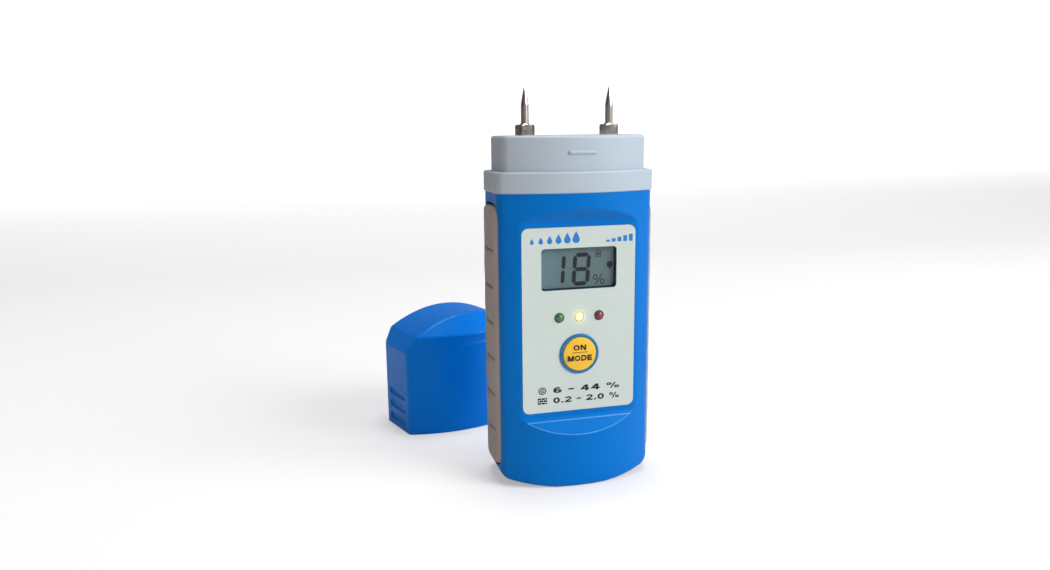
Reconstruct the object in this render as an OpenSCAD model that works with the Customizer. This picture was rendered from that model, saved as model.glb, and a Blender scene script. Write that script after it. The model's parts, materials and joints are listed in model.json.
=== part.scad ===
// Handheld pin-type moisture meter with a separate pull-off protective cap.
// Millimetres, +Z up, origin at the middle of the base, front face toward -Y.

/* [Body] */
// Width of the body across its two flat sides
body_w = 46.2; // [40:0.1:60]
// Height of the body below the head collar
body_h = 86; // [70:0.5:110]
// Depth of the flat side faces
side_d = 16.4; // [12:0.1:22]
// Height of the front and back bulge beyond the side faces
crown = 6.4; // [3:0.1:10]
// Radius that softens the four upright body corners, from the centre line
corner_cut = 24.1; // [23.2:0.05:25]
// Wall thickness of the mouldings
wall = 2.0; // [1.2:0.1:3]
// Radius of the gently rounded base in front view
base_r = 95; // [60:1:200]
// Height by which the rounded base is trimmed flat
base_flat = 0.3; // [0.1:0.05:1]
// Fillet between the base and the sides in front view
base_fillet = 3.5; // [2:0.1:6]

/* [Face] */
// Distance of the flat face plateau in front of the centre plane
face_y = 11.1; // [9:0.1:13]
// Height of the lower edge of the plateau
face_z0 = 19.6; // [15:0.1:25]
// Height of the upper edge of the plateau
face_z1 = 77.2; // [70:0.1:82]
// Rise of the lower crescent scoop per millimetre of depth
scoop_low = 1.31; // [0.8:0.01:2]
// Rise of the upper crescent scoop per millimetre of depth
scoop_high = 1.17; // [0.8:0.01:2]
// Width of the face label
label_w = 34; // [25:0.5:40]
// Height of the face label
label_h = 54; // [40:0.5:65]
// Height of the lower edge of the label
label_z = 22.4; // [18:0.1:30]
// Thickness of the label
label_t = 0.3; // [0.1:0.05:0.6]
// Corner radius of the label
label_r = 2; // [0.5:0.1:4]
// Thickness of the plate behind the label
plate_t = 2.0; // [1.4:0.1:3]

/* [Display] */
// Visible width of the display window
win_w = 22.6; // [15:0.1:30]
// Visible height of the display window
win_h = 12; // [8:0.1:20]
// Height of the middle of the display window
win_z = 64.4; // [50:0.1:75]
// Width of the display glass
glass_w = 30; // [24:0.5:34]
// Height of the display glass
glass_h = 18; // [14:0.5:22]
// Thickness of the display glass
glass_t = 2.2; // [1:0.1:3]

/* [Key and lamps] */
// Height of the key centre
key_z = 39.4; // [30:0.1:45]
// Radius of the key disc
key_r = 5.0; // [3:0.1:8]
// Outside radius of the raised ring round the key
ring_r = 5.92; // [5:0.01:9]
// Press travel of the key
key_travel = 0.4; // [0.2:0.05:1]
// Height of the row of lamps
led_z = 50.4; // [45:0.1:56]
// Spacing of the lamps
led_pitch = 6; // [4:0.1:9]
// Radius of a lamp
led_r = 1.4; // [1:0.05:2.5]

/* [Electrode head] */
// Width of the collar
collar_w = 47; // [42:0.1:60]
// Height of the collar
collar_h = 5.9; // [3:0.1:10]
// Width of the head above the collar
head_w = 42.7; // [38:0.1:50]
// Height of the head above the collar
head_h = 9.9; // [6:0.1:16]
// Spacing of the two pins
pin_pitch = 25.4; // [15:0.1:30]
// Radius of the exposed pin
pin_r = 1.1; // [0.6:0.05:2]
// Length of the exposed pin including its point
pin_len = 11.3; // [6:0.1:20]
// Length of the sharp point
point_len = 5.4; // [2:0.1:8]
// Radius of the threaded shank of the pin
shank_r = 1.5; // [1:0.05:2.5]
// Corner radius of the hexagon nuts
nut_r = 2.9; // [2:0.05:4]
// Height of the hexagon nuts
nut_h = 3.0; // [1.5:0.1:5]

/* [Side grips] */
// Width of a grip strip
grip_w = 14.8; // [8:0.1:15]
// Lower end of the grips
grip_z0 = 5.6; // [3:0.1:12]
// Upper end of the grips
grip_z1 = 82.4; // [70:0.1:85]
// How far the grips stand proud of the body sides
grip_proud = 1.6; // [0.2:0.05:2]
// Height of the lowest finger notch
notch_z = 16.6; // [10:0.1:25]
// Spacing of the finger notches
notch_pitch = 10.65; // [6:0.05:15]
// Number of finger notches
notch_n = 6; // [1:1:9]

/* [Batteries] */
// Height of the battery stack centre
cell_z = 31; // [24:0.5:40]
// Radius of a coin cell
cell_r = 10; // [8:0.1:12.5]
// Thickness of a coin cell
cell_t = 3.2; // [1.6:0.1:5]
// Radius of the round battery cover
cover_r = 13.03; // [11:0.01:14]

/* [Protective cap] */
// Height of the cap at the crest of its arched top
cap_h = 40.6; // [36:0.1:45]
// Height of the cap's top edge at its front and rear
cap_rim = 34.2; // [32:0.1:35]
// Depth of the cap at its flat sides
cap_d = 18.4; // [17:0.1:20]
// Bulge of the cap's front and rear
cap_crown = 6.6; // [6:0.1:7.5]
// Width of the sloped shoulder between the cap's side and its arched top
cap_shoulder = 3; // [2:0.1:6]
// Height of the sloped shoulder
cap_drop = 4.8; // [3:0.1:6]
// Wall thickness of the cap
cap_wall = 1.75; // [1:0.05:3]
// Depth of the sloped facets at the front and rear of the cap's top
cap_facet = 5.8; // [5:0.1:7]
// Sideways place of the standing cap
cap_x = -24.2; // [-80:0.1:80]
// Place of the standing cap behind the meter
cap_y = 57; // [-80:0.1:120]
// Turn of the standing cap about the upright axis
cap_yaw = 17.5; // [-45:0.1:45]
// Number of finger grooves on each cap side
groove_n = 3; // [0:1:5]
// Spacing of the cap grooves
groove_pitch = 4.55; // [3:0.05:8]
// Height of the lowest cap groove
groove_z = 3.4; // [2:0.1:8]

/* [Hidden] */
$fn = 96;
eps = 0.01;
arc_n = 12;
big = 200;
half_w = body_w / 2;
apex_y = side_d / 2 + crown;
collar_d = side_d + 0.4;
head_d = 14.4;
head_crown = 5.6;
collar_cut = 24.55;
head_cut = 22.1;
head_z = body_h + collar_h;
top_z = head_z + head_h;
nut_z = top_z + nut_h;
tip_z = nut_z + pin_len;
cav_w = body_w - 5;
cav_y = face_y - plate_t;
cav_z0 = 3.2;
cav_z1 = body_h - 2.2;
label_floor = face_y - 0.25;
label_face = label_floor + label_t;
pane_y = 10.4;
pane_t = 0.8;
glass_y = pane_y - pane_t;
board_w = 39.6;
board_z0 = 13;
board_z1 = 75.5;
board_f = -4.4;
board_b = -2.8;
key_top = label_face + 1.05;
ring_gap = 0.08;
flange_f = -8.7;
flange_b = -8.0;
plunger_f = -7.5;
switch_f = -6.4;
well_r = cell_r + 0.4;
well_out = 13.8;
well_floor = 0.2;
cell_y = 1.0;
recess_y = 10.9;
cover_y = 11.2;
cover_t = 1.3;
seat_r = 13.1;
case_x = 16;
case_z0 = 8;
case_z1 = 79.5;
bs_x = 17;
bs_z0 = 17;
bs_z1 = 50;
slot_floor = 21.7;
spigot_w = 32;
spigot_d = 12;
spigot_z = 83.2;
pin_x = pin_pitch / 2;
lead_x = pin_x - 1;

body_blue = [0.0, 0.30, 0.72];
grey_light = [0.74, 0.80, 0.84];
grip_grey = [0.56, 0.54, 0.52];
label_col = [0.80, 0.86, 0.84];
steel_col = [0.75, 0.76, 0.78];
brass_col = [0.80, 0.66, 0.36];
board_col = [0.05, 0.35, 0.18];
black_col = [0.06, 0.06, 0.07];
yellow_col = [1.0, 0.75, 0.15];

// Flat-sided plan with bulged front and back and softened corners
module lens2d(w, d, c, cut) {
  r = ((w / 2) * (w / 2) + c * c) / (2 * c);
  s = r - d / 2 - c;
  intersection() {
    square([w, d + 2 * c], center = true);
    translate([0, s]) circle(r = r);
    translate([0, -s]) circle(r = r);
    circle(r = cut);
  }
}

module lens(w, d, c, cut, z0, z1) {
  translate([0, 0, z0]) linear_extrude(height = z1 - z0) lens2d(w, d, c, cut);
}

// Round bar along Y
module ybar(r, y0, y1, x, z) {
  translate([x, y0, z]) rotate([-90, 0, 0]) cylinder(r = r, h = y1 - y0);
}

// Block from its two opposite corners
module block(a, b) {
  translate(a) cube(b - a);
}

// Rectangle with rounded corners, centred
module round_rect(w, h, r) {
  square([w - 2 * r, h], center = true);
  square([w, h - 2 * r], center = true);
  for (sx = [-1, 1])
    for (sz = [-1, 1])
      translate([sx * (w / 2 - r), sz * (h / 2 - r)]) circle(r = r);
}

// Rounded plate facing -Y, between two depths
module face_plate(w, h, r, y0, y1, z) {
  translate([0, y1, z]) rotate([90, 0, 0]) linear_extrude(height = y1 - y0) round_rect(w, h, r);
}

// Front outline of the body: convex base with filleted corners
module outline2d() {
  fx = half_w - base_fillet;
  cz = base_r - base_flat;
  fz = cz - sqrt((base_r - base_fillet) * (base_r - base_fillet) - fx * fx);
  tx = fx * base_r / (base_r - base_fillet);
  ta = asin(fx / (base_r - base_fillet));
  polygon(concat(
    [[half_w + 1, body_h + 1], [-half_w - 1, body_h + 1], [-half_w - 1, fz]],
    [for (i = [0:arc_n]) let (a = 180 + i * (90 - ta) / arc_n)
      [-fx + base_fillet * cos(a), fz + base_fillet * sin(a)]],
    [for (i = [1:arc_n - 1]) let (x = -tx + i * 2 * tx / arc_n)
      [x, max(0, cz - sqrt(base_r * base_r - x * x))]],
    [for (i = [0:arc_n]) let (a = 270 + ta + i * (90 - ta) / arc_n)
      [fx + base_fillet * cos(a), fz + base_fillet * sin(a)]],
    [[half_w + 1, fz]]
  ));
}

module body_outer() {
  intersection() {
    lens(body_w, side_d, crown, corner_cut, 0, body_h);
    translate([0, big / 2, 0]) rotate([90, 0, 0]) linear_extrude(height = big) outline2d();
  }
}

// Hollow inside the body
module body_cavity() {
  intersection() {
    lens(cav_w, side_d - 1, crown - 0.4, corner_cut - 2.4, cav_z0, cav_z1);
    block([-half_w, -cav_y, 0], [half_w, apex_y - wall, body_h]);
  }
}

// Flat plateau with a crescent scoop below and above it
module face_cut() {
  far = 10;
  translate([-half_w - 1, 0, 0]) rotate([90, 0, 90]) linear_extrude(height = body_w + 2)
    polygon([
      [-face_y, face_z0], [-face_y, face_z1],
      [-face_y - far, face_z1 + far * scoop_high], [-face_y - far, face_z0 - far * scoop_low]
    ]);
}

// Slots for the side grips
module grip_slots() {
  for (s = [-1, 1])
    translate([s * slot_floor, 0, (grip_z0 + grip_z1) / 2])
      rotate([90, 0, s * 90]) linear_extrude(height = 6)
        round_rect(grip_w + 0.3, grip_z1 - grip_z0 + 1.4, 4);
}

// Opening in the body top for the spigot of the head
module spigot_hole() {
  block([-spigot_w / 2 - 0.1, -spigot_d / 2 - 0.1, cav_z1 - 1],
        [spigot_w / 2 + 0.1, spigot_d / 2 + 0.1, body_h + 1]);
}

module front_shell() {
  color(body_blue) {
    difference() {
      intersection() {
        body_outer();
        block([-big, -big, -1], [big, 0, big]);
      }
      body_cavity();
      face_cut();
      grip_slots();
      spigot_hole();
      face_plate(label_w + 0.2, label_h + 0.2, label_r, -big, -label_floor, label_z + label_h / 2);
      face_plate(win_w, win_h, 1, -big, 0, win_z);
      face_plate(glass_w + 0.4, glass_h + 0.4, 1, -pane_y, 0, win_z);
      for (i = [-1:1]) ybar(led_r + 0.1, -big, 0, i * led_pitch, led_z);
      ybar(key_r + ring_gap, -big, 0, 0, key_z);
    }
    difference() {
      ybar(ring_r, -label_face - 0.4, -cav_y, 0, key_z);
      ybar(key_r + ring_gap, -big, 0, 0, key_z);
    }
    for (s = [-1, 1]) {
      for (z = [case_z0, case_z1])
        difference() {
          ybar(3, -cav_y - eps, 0, s * case_x, z);
          ybar(1.25, -8, 1, s * case_x, z);
        }
      for (z = [bs_z0, bs_z1])
        difference() {
          ybar(2.2, -cav_y - eps, board_f, s * bs_x, z);
          ybar(0.95, -8.4, 0, s * bs_x, z);
        }
    }
  }
}

module rear_shell() {
  color(body_blue) {
    difference() {
      union() {
        difference() {
          intersection() {
            body_outer();
            block([-big, 0, -1], [big, big, big]);
          }
          body_cavity();
          grip_slots();
          spigot_hole();
        }
        ybar(well_out, -1, 12.2, 0, cell_z);
        for (s = [-1, 1])
          for (z = [case_z0, case_z1])
            ybar(3.4, 0, 10.4, s * case_x, z);
      }
      ybar(well_r, well_floor, big, 0, cell_z);
      ybar(seat_r, recess_y, big, 0, cell_z);
      difference() {
        ybar(12.35, recess_y - 0.8, recess_y + 1, 0, cell_z);
        ybar(11.25, recess_y - 1.8, recess_y + 2, 0, cell_z);
      }
      block([10, -2, cell_z - 2.3], [11.3, 9.8, cell_z + 2.3]);
      for (s = [-1, 1])
        block([-1.1, -2, cell_z + s * 4 - 0.3], [1.1, 1, cell_z + s * 4 + 0.3]);
      for (s = [-1, 1])
        for (z = [case_z0, case_z1]) {
          ybar(1.3, -1, big, s * case_x, z);
          ybar(2.4, 4, big, s * case_x, z);
        }
    }
  }
}

module electrode_head() {
  color(grey_light) {
    difference() {
      union() {
        lens(collar_w, collar_d, crown, collar_cut, body_h, head_z);
        intersection() {
          lens(head_w, head_d, head_crown, head_cut, body_h, top_z);
          translate([0, big / 2, (body_h + top_z) / 2 - 1.5])
            rotate([90, 0, 0]) linear_extrude(height = big)
              round_rect(head_w, head_h + collar_h + 3, 1.5);
        }
        block([-spigot_w / 2, -spigot_d / 2, spigot_z], [spigot_w / 2, spigot_d / 2, body_h + eps]);
        for (s = [-1, 1])
          translate([s * 4, -head_d / 2 - head_crown + 0.1, top_z - 4.8]) sphere(r = 0.6);
        translate([-4, -head_d / 2 - head_crown + 0.1, top_z - 4.8])
          rotate([0, 90, 0]) cylinder(r = 0.6, h = 8);
      }
      difference() {
        lens(head_w - 4, head_d - 2, head_crown - 0.8, head_cut - 2.2, 88, top_z - 2);
        for (s = [-1, 1]) translate([s * pin_x, 0, 92]) cylinder(r = 4.2, h = 20);
      }
      block([-spigot_w / 2 + 1.6, -spigot_d / 2 + 1.6, spigot_z - 1],
            [spigot_w / 2 - 1.6, spigot_d / 2 - 1.6, 90]);
      for (s = [-1, 1]) {
        translate([s * pin_x, 0, 93]) cylinder(r = 2.5, h = 20);
        translate([s * pin_x, 0, 91]) cylinder(r = 3.2, h = 2);
      }
    }
  }
}

module grip(s) {
  x1 = half_w + grip_proud;
  br = 40;
  color(grip_grey)
    difference() {
      intersection() {
        translate([s * (slot_floor + 0.02), 0, (grip_z0 + grip_z1) / 2])
          rotate([90, 0, s * 90]) linear_extrude(height = 6)
            round_rect(grip_w, grip_z1 - grip_z0, 3.8);
        translate([s * (x1 - br), 0, 0]) cylinder(r = br, h = body_h);
      }
      for (i = [0:notch_n - 1])
        translate([s * (x1 + 0.15), 0, notch_z + i * notch_pitch])
          rotate([0, 45, 0]) cube([1.3, 20, 1.3], center = true);
    }
}

module left_grip() {
  grip(-1);
}

module right_grip() {
  grip(1);
}

module faceplate_label() {
  color(label_col)
    difference() {
      face_plate(label_w, label_h, label_r, -label_face, -label_floor, label_z + label_h / 2);
      face_plate(win_w, win_h, 1, -big, 0, win_z);
      for (i = [-1:1]) ybar(led_r + 0.1, -big, 0, i * led_pitch, led_z);
      ybar(ring_r + 0.02, -big, 0, 0, key_z);
    }
}

module display_window() {
  color([0.85, 0.9, 0.92, 0.4])
    face_plate(glass_w, glass_h, 0.9, -pane_y, -glass_y, win_z);
}

module lcd_frame() {
  color(black_col)
    difference() {
      face_plate(34, 21, 1, -cav_y, board_f, win_z);
      face_plate(glass_w + 0.4, glass_h + 0.4, 0.6, -big, 0, win_z);
    }
}

module lcd_panel() {
  color([0.50, 0.60, 0.60])
    face_plate(glass_w, glass_h, 0.5, -glass_y, -glass_y + glass_t, win_z);
}

module zebra_strips() {
  color([0.85, 0.55, 0.60])
    for (s = [-1, 1])
      block([-14, -glass_y + glass_t, win_z + s * 7.5 - 1], [14, board_f, win_z + s * 7.5 + 1]);
}

module main_board() {
  color(board_col)
    difference() {
      block([-board_w / 2, board_f, board_z0], [board_w / 2, board_b, board_z1]);
      for (s = [-1, 1])
        for (z = [bs_z0, bs_z1])
          ybar(1.0, -big, big, s * bs_x, z);
      for (i = [-1:1])
        for (s = [-1, 1])
          ybar(0.35, -big, big, i * led_pitch + s * 1.27, led_z);
    }
}

module controller_chip() {
  color(black_col) {
    block([-5, board_b, 52], [5, board_b + 1.3, 62]);
    for (i = [-3:3])
      for (s = [-1, 1]) {
        block([i * 1.2 - 0.2, board_b, 57 + s * 5.6 - 0.6],
              [i * 1.2 + 0.2, board_b + 0.4, 57 + s * 5.6 + 0.6]);
        block([s * 5.6 - 0.6, board_b, 57 + i * 1.2 - 0.2],
              [s * 5.6 + 0.6, board_b + 0.4, 57 + i * 1.2 + 0.2]);
      }
  }
}

module board_components() {
  color([0.72, 0.62, 0.45]) {
    for (i = [-2:2]) block([i * 3.2 - 1, board_b, 66], [i * 3.2 + 1, board_b + 0.9, 67.3]);
    for (s = [-1, 1])
      for (i = [0:3])
        block([s * 11 - 0.65, board_b, 50 + i * 3.4], [s * 11 + 0.65, board_b + 0.9, 52 + i * 3.4]);
    ybar(1.6, board_b, board_b + 4, 15, 60);
    block([-17, board_b, 57], [-13.5, board_b + 1.8, 63]);
    for (i = [-1:1])
      block([i * led_pitch - 0.6, board_f - 0.6, 45.5], [i * led_pitch + 0.6, board_f, 47.5]);
  }
}

// Domed lamp with a flange and two wire legs
module led(x) {
  ybar(led_r, -10.6, -9.05, x, led_z);
  intersection() {
    translate([x, -10.6, led_z]) sphere(r = led_r);
    block([x - 3, -14, led_z - 3], [x + 3, -10.6, led_z + 3]);
  }
  ybar(1.9, -9.05, -8.1, x, led_z);
  for (s = [-1, 1]) ybar(0.25, -8.1, -2.2, x + s * 1.27, led_z);
}

module led_green() {
  color([0.35, 0.60, 0.38]) led(-led_pitch);
}

module led_yellow() {
  color([0.96, 0.98, 0.68]) led(0);
}

module led_red() {
  color([0.60, 0.30, 0.36]) led(led_pitch);
}

module switch_base() {
  color(black_col) {
    difference() {
      block([-3, switch_f, key_z - 3], [3, board_f, key_z + 3]);
      ybar(1.82, switch_f - 1, -5.2, 0, key_z);
    }
  }
}

module switch_plunger() {
  color([0.75, 0.72, 0.66]) ybar(1.75, plunger_f, -5.7, 0, key_z);
}

module mode_key() {
  color(yellow_col) {
    intersection() {
      ybar(key_r, -key_top, flange_f + eps, 0, key_z);
      translate([0, 32 - key_top, key_z]) sphere(r = 32);
    }
    ybar(key_r + 0.9, flange_f, flange_b, 0, key_z);
    ybar(1.6, flange_b - eps, plunger_f, 0, key_z);
  }
}

module electrode_pin(x) {
  color(steel_col)
    translate([x, 0, 0]) {
      translate([0, 0, 94]) cylinder(r = shank_r, h = nut_z - 94);
      translate([0, 0, nut_z]) cylinder(r = pin_r, h = pin_len - point_len);
      translate([0, 0, tip_z - point_len]) cylinder(r1 = pin_r, r2 = 0, h = point_len);
    }
}

module electrode_pin_left() {
  electrode_pin(-pin_x);
}

module electrode_pin_right() {
  electrode_pin(pin_x);
}

module pin_nut(x) {
  color(brass_col)
    translate([x, 0, top_z])
      difference() {
        intersection() {
          cylinder(r = nut_r, h = nut_h, $fn = 6);
          translate([0, 0, -2.2]) cylinder(r1 = nut_r + 2.2, r2 = nut_r - 0.35, h = nut_h + 2.2);
        }
        translate([0, 0, -1]) cylinder(r = shank_r + 0.02, h = nut_h + 2);
      }
}

module pin_nut_left() {
  pin_nut(-pin_x);
}

module pin_nut_right() {
  pin_nut(pin_x);
}

module electrode_socket(x) {
  color(brass_col)
    translate([x, 0, 0])
      difference() {
        union() {
          translate([0, 0, 92]) cylinder(r = 2.48, h = top_z - 92);
          translate([0, 0, 91.2]) cylinder(r = 3.15, h = 1.8);
        }
        translate([0, 0, 94]) cylinder(r = shank_r + 0.02, h = 20);
      }
}

module electrode_socket_left() {
  electrode_socket(-pin_x);
}

module electrode_socket_right() {
  electrode_socket(pin_x);
}

module electrode_leads() {
  color([0.70, 0.10, 0.08])
    for (s = [-1, 1]) {
      translate([s * lead_x, 0, 73.5]) cylinder(r = 0.6, h = 91.2 - 73.5);
      translate([s * lead_x, 0, 73.5]) sphere(r = 0.6);
      ybar(0.6, board_b, 0, s * lead_x, 73.5);
    }
}

module coin_cell(i) {
  y0 = cell_y + i * cell_t;
  color(steel_col) {
    ybar(cell_r - 1.3, y0, y0 + 0.36, 0, cell_z);
    ybar(cell_r, y0 + 0.35, y0 + cell_t, 0, cell_z);
  }
}

module coin_cell_inner() {
  coin_cell(0);
}

module coin_cell_middle() {
  coin_cell(1);
}

module coin_cell_outer() {
  coin_cell(2);
}

module contact_negative() {
  color(steel_col) {
    ybar(6, well_floor, well_floor + 0.3, 0, cell_z);
    ybar(2.2, well_floor + 0.29, cell_y, 0, cell_z);
    for (s = [-1, 1])
      block([-1, board_b, cell_z + s * 4 - 0.15], [1, well_floor + 0.01, cell_z + s * 4 + 0.15]);
  }
}

module contact_positive() {
  color(steel_col) {
    block([10.7, board_b, cell_z - 2], [11.1, 9.6, cell_z + 2]);
    block([10.01, 8.2, cell_z - 1], [10.71, 9.4, cell_z + 1]);
  }
}

module cover_seal() {
  color(black_col)
    translate([0, recess_y - 0.35, cell_z]) rotate([90, 0, 0])
      rotate_extrude() translate([11.8, 0]) circle(r = 0.4);
}

module battery_cover() {
  color(body_blue)
    difference() {
      ybar(cover_r, cover_y, cover_y + cover_t, 0, cell_z);
      block([-8, cover_y + 0.5, cell_z - 1], [8, 20, cell_z + 1]);
      for (a = [0:30:330])
        translate([0, 0, cell_z]) rotate([0, a, 0])
          ybar(0.9, cover_y + 0.5, 20, cover_r + 0.1, 0);
    }
}

module case_screws() {
  color(steel_col)
    for (s = [-1, 1])
      for (z = [case_z0, case_z1]) {
        ybar(1.2, -7, 4.01, s * case_x, z);
        difference() {
          ybar(2.2, 4, 5.6, s * case_x, z);
          translate([s * case_x, 5.4, z]) cube([3, 1.4, 0.6], center = true);
          translate([s * case_x, 5.4, z]) cube([0.6, 1.4, 3], center = true);
        }
      }
}

module board_screws() {
  color(steel_col)
    for (s = [-1, 1])
      for (z = [bs_z0, bs_z1]) {
        ybar(0.9, -8.2, board_b + 0.01, s * bs_x, z);
        difference() {
          ybar(1.9, board_b, board_b + 1.3, s * bs_x, z);
          translate([s * bs_x, board_b + 1.2, z]) cube([2.4, 1, 0.5], center = true);
        }
      }
}

// Upright body of revolution whose wall leans in above the rim
module facet_turn(r, rim, top) {
  lean = cap_facet / (cap_h - cap_rim);
  rotate_extrude() polygon([[0, 0], [r, 0], [r, rim], [r - (top + 1 - rim) * lean, top + 1], [0, top + 1]]);
}

// Block with bulged front and rear, sloped shoulders, an arched top and facets that slope up to it
module cap_form(w, d, c, cut, rim, top) {
  r = ((w / 2) * (w / 2) + c * c) / (2 * c);
  s = r - d / 2 - c;
  rise = top - rim;
  inner = w / 2 - cap_shoulder;
  arch_r = (inner * inner + rise * rise) / (2 * rise);
  foot = rim - cap_drop - 0.3;
  peak = w / 2 - (top + 1 - foot) * cap_shoulder / cap_drop;
  intersection() {
    rotate([90, 0, 0])
      linear_extrude(height = d + 2 * c + 2, center = true)
        polygon([[-w / 2, 0], [w / 2, 0], [w / 2, foot], [peak, top + 1],
                 [-peak, top + 1], [-w / 2, foot]]);
    cylinder(r = cut, h = top + 2);
    translate([0, 0, top - arch_r]) rotate([90, 0, 0]) cylinder(r = arch_r, h = big, center = true);
    translate([0, s, 0]) facet_turn(r, rim, top + 2);
    translate([0, -s, 0]) facet_turn(r, rim, top + 2);
  }
}

module protective_cap() {
  inner_w = collar_w - 2 * cap_wall;
  color(body_blue)
    translate([cap_x, cap_y, 0]) rotate([0, 0, cap_yaw])
      difference() {
        cap_form(collar_w, cap_d, cap_crown, collar_cut + 0.4, cap_rim, cap_h);
        translate([0, 0, -1])
          cap_form(inner_w, cap_d - 1, cap_crown - 0.9, collar_cut - 1.5,
                   cap_rim - 0.2, cap_h - cap_wall + 1);
        for (s = [-1, 1])
          for (i = [0:groove_n - 1])
            translate([s * (collar_w / 2 + 1.2), 0, groove_z + i * groove_pitch]) {
              rotate([90, 0, 0]) cylinder(r = 1.8, h = 10.6, center = true);
              for (t = [-1, 1]) translate([0, t * 5.3, 0]) sphere(r = 1.8);
            }
      }
}

front_shell();
rear_shell();
electrode_head();
left_grip();
right_grip();
faceplate_label();
display_window();
lcd_panel();
lcd_frame();
zebra_strips();
main_board();
controller_chip();
board_components();
led_green();
led_yellow();
led_red();
switch_base();
switch_plunger();
mode_key();
electrode_pin_left();
electrode_pin_right();
pin_nut_left();
pin_nut_right();
electrode_socket_left();
electrode_socket_right();
electrode_leads();
coin_cell_inner();
coin_cell_middle();
coin_cell_outer();
contact_negative();
contact_positive();
cover_seal();
battery_cover();
case_screws();
board_screws();
protective_cap();
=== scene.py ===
import json
import math
import bmesh
import bpy
from mathutils import Matrix, Vector


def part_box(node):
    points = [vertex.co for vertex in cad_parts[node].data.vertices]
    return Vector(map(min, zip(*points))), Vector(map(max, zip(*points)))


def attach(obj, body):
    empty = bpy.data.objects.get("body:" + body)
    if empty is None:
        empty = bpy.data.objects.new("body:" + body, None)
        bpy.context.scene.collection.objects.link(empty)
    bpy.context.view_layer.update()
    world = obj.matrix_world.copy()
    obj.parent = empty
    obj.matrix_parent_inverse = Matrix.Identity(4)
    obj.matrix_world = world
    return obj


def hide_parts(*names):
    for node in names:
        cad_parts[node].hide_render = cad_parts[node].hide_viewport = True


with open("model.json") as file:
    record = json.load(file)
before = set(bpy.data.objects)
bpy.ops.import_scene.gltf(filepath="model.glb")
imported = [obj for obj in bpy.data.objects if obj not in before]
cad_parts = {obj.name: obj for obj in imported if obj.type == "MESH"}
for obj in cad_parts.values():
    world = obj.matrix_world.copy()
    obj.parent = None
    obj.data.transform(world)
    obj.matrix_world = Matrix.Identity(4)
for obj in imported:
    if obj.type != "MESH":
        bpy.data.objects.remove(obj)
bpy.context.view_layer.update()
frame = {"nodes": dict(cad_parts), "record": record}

MM = 0.001
NODES = frame["nodes"]


# ------------------------ sizes, in mm

def box_mm(node):
    """Lowest and highest corner of a CAD node."""
    lo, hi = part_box(node)
    return [c / MM for c in lo], [c / MM for c in hi]


SHELL_LO, SHELL_HI = box_mm("front_shell")
HEAD_HI = box_mm("electrode_head")[1]
LABEL_LO, LABEL_HI = box_mm("faceplate_label")
GLASS_LO, GLASS_HI = box_mm("lcd_panel")
KEY_LO, KEY_HI = box_mm("mode_key")
CAP_LO, CAP_HI = box_mm("protective_cap")
COVER_LO, COVER_HI = box_mm("battery_cover")
GRIP_LO, GRIP_HI = box_mm("right_grip")

BODY_HW = SHELL_HI[0]
BODY_H = SHELL_HI[2]
APEX = -SHELL_LO[1]
CROWN = 6.4             # how far the middle of a bulged face stands past its sides
COLLAR_HW = HEAD_HI[0]
COLLAR_H = 5.9
HEAD_Z = BODY_H + COLLAR_H
HEAD_TOP = HEAD_HI[2]
HEAD_HW = 21.35
HEAD_APEX = 12.8
HEAD_CROWN = 5.6
FACE_Y = 11.1
BASE_R = 95.0           # radius of the bowed foot of the front outline
BASE_FLAT = 0.3         # height taken off that foot, so that it stands
BASE_FILLET = 3.5       # rounding between the foot and the sides
SIDE_R = 1.7            # rounding of the body's upright edges
GRIP_FLOOR = 21.7       # floor of a grip's slot, from the centre plane
GRIP_CORNER = 3.8
GRIP_EDGE = 1.2
NOTCH_Z = 16.6          # lowest notch of a grip
NOTCH_PITCH = 10.65
LABEL_Z = (LABEL_LO[2] + LABEL_HI[2]) / 2
LABEL_W = LABEL_HI[0] - LABEL_LO[0]
LABEL_H = LABEL_HI[2] - LABEL_LO[2]
LABEL_FACE = -LABEL_LO[1]
WIN_W, WIN_H = 22.6, 12.0
WIN_Z = (GLASS_LO[2] + GLASS_HI[2]) / 2
LCD_Y = -GLASS_LO[1]
KEY_Z = (KEY_LO[2] + KEY_HI[2]) / 2
KEY_R = 5.0
RING_R = 5.92
LED_PITCH = 6.0
LED_R = 1.4
LED_Z = 50.4
PIN_X = 12.7
PIN_R = 1.1
NUT_H = 3.0
TIP_Z = box_mm("electrode_pin_left")[1][2]
CELL_Z = (COVER_LO[2] + COVER_HI[2]) / 2
CAP_H = CAP_HI[2]
CAP_WALL = 1.75
CAP_RIM = 34.2
CAP_FACET = 5.8
CAP_SHOULDER = 3.0
CAP_DROP = 4.8
CAP_CROWN = 6.6
CAP_APEX = 9.2 + CAP_CROWN
CAP_YAW = math.radians(17.5)
CAP_GROOVES = (3.4, 4.55)           # height of the lowest side groove, and their spacing
CAP_MID = ((CAP_LO[0] + CAP_HI[0]) / 2, (CAP_LO[1] + CAP_HI[1]) / 2)
POST_X, POST_Z = 16, (8.0, 79.5)    # case screw posts
DIGIT_LEAN = 0.068
LETTER_STROKE = 0.24                # of a letter's height
LETTER_GAP = 0.16
PRINT_H = 0.02                      # how far a print stands up


# ------------------------ small maths

def lens(x, hw, apex, crown):
    """Depth of the bulged front or back at x, measured from the centre plane."""
    r = (hw * hw + crown * crown) / (2 * crown)
    return apex - r + math.sqrt(r * r - min(abs(x), hw) ** 2)


def smin(a, b, k):
    """Smooth minimum of a and b with blend radius k."""
    h = max(k - abs(a - b), 0.0) / k
    return min(a, b) - h * h * k * 0.25


def round_in(e, r):
    """How far an edge of radius r has turned inward at distance e from it."""
    return 0.0 if e >= r else r - math.sqrt(max(r * r - (r - e) ** 2, 0.0))


def steps(a, b, n):
    """n even steps from a to b, both ends included."""
    return [a + (b - a) * i / n for i in range(n + 1)]


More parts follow.
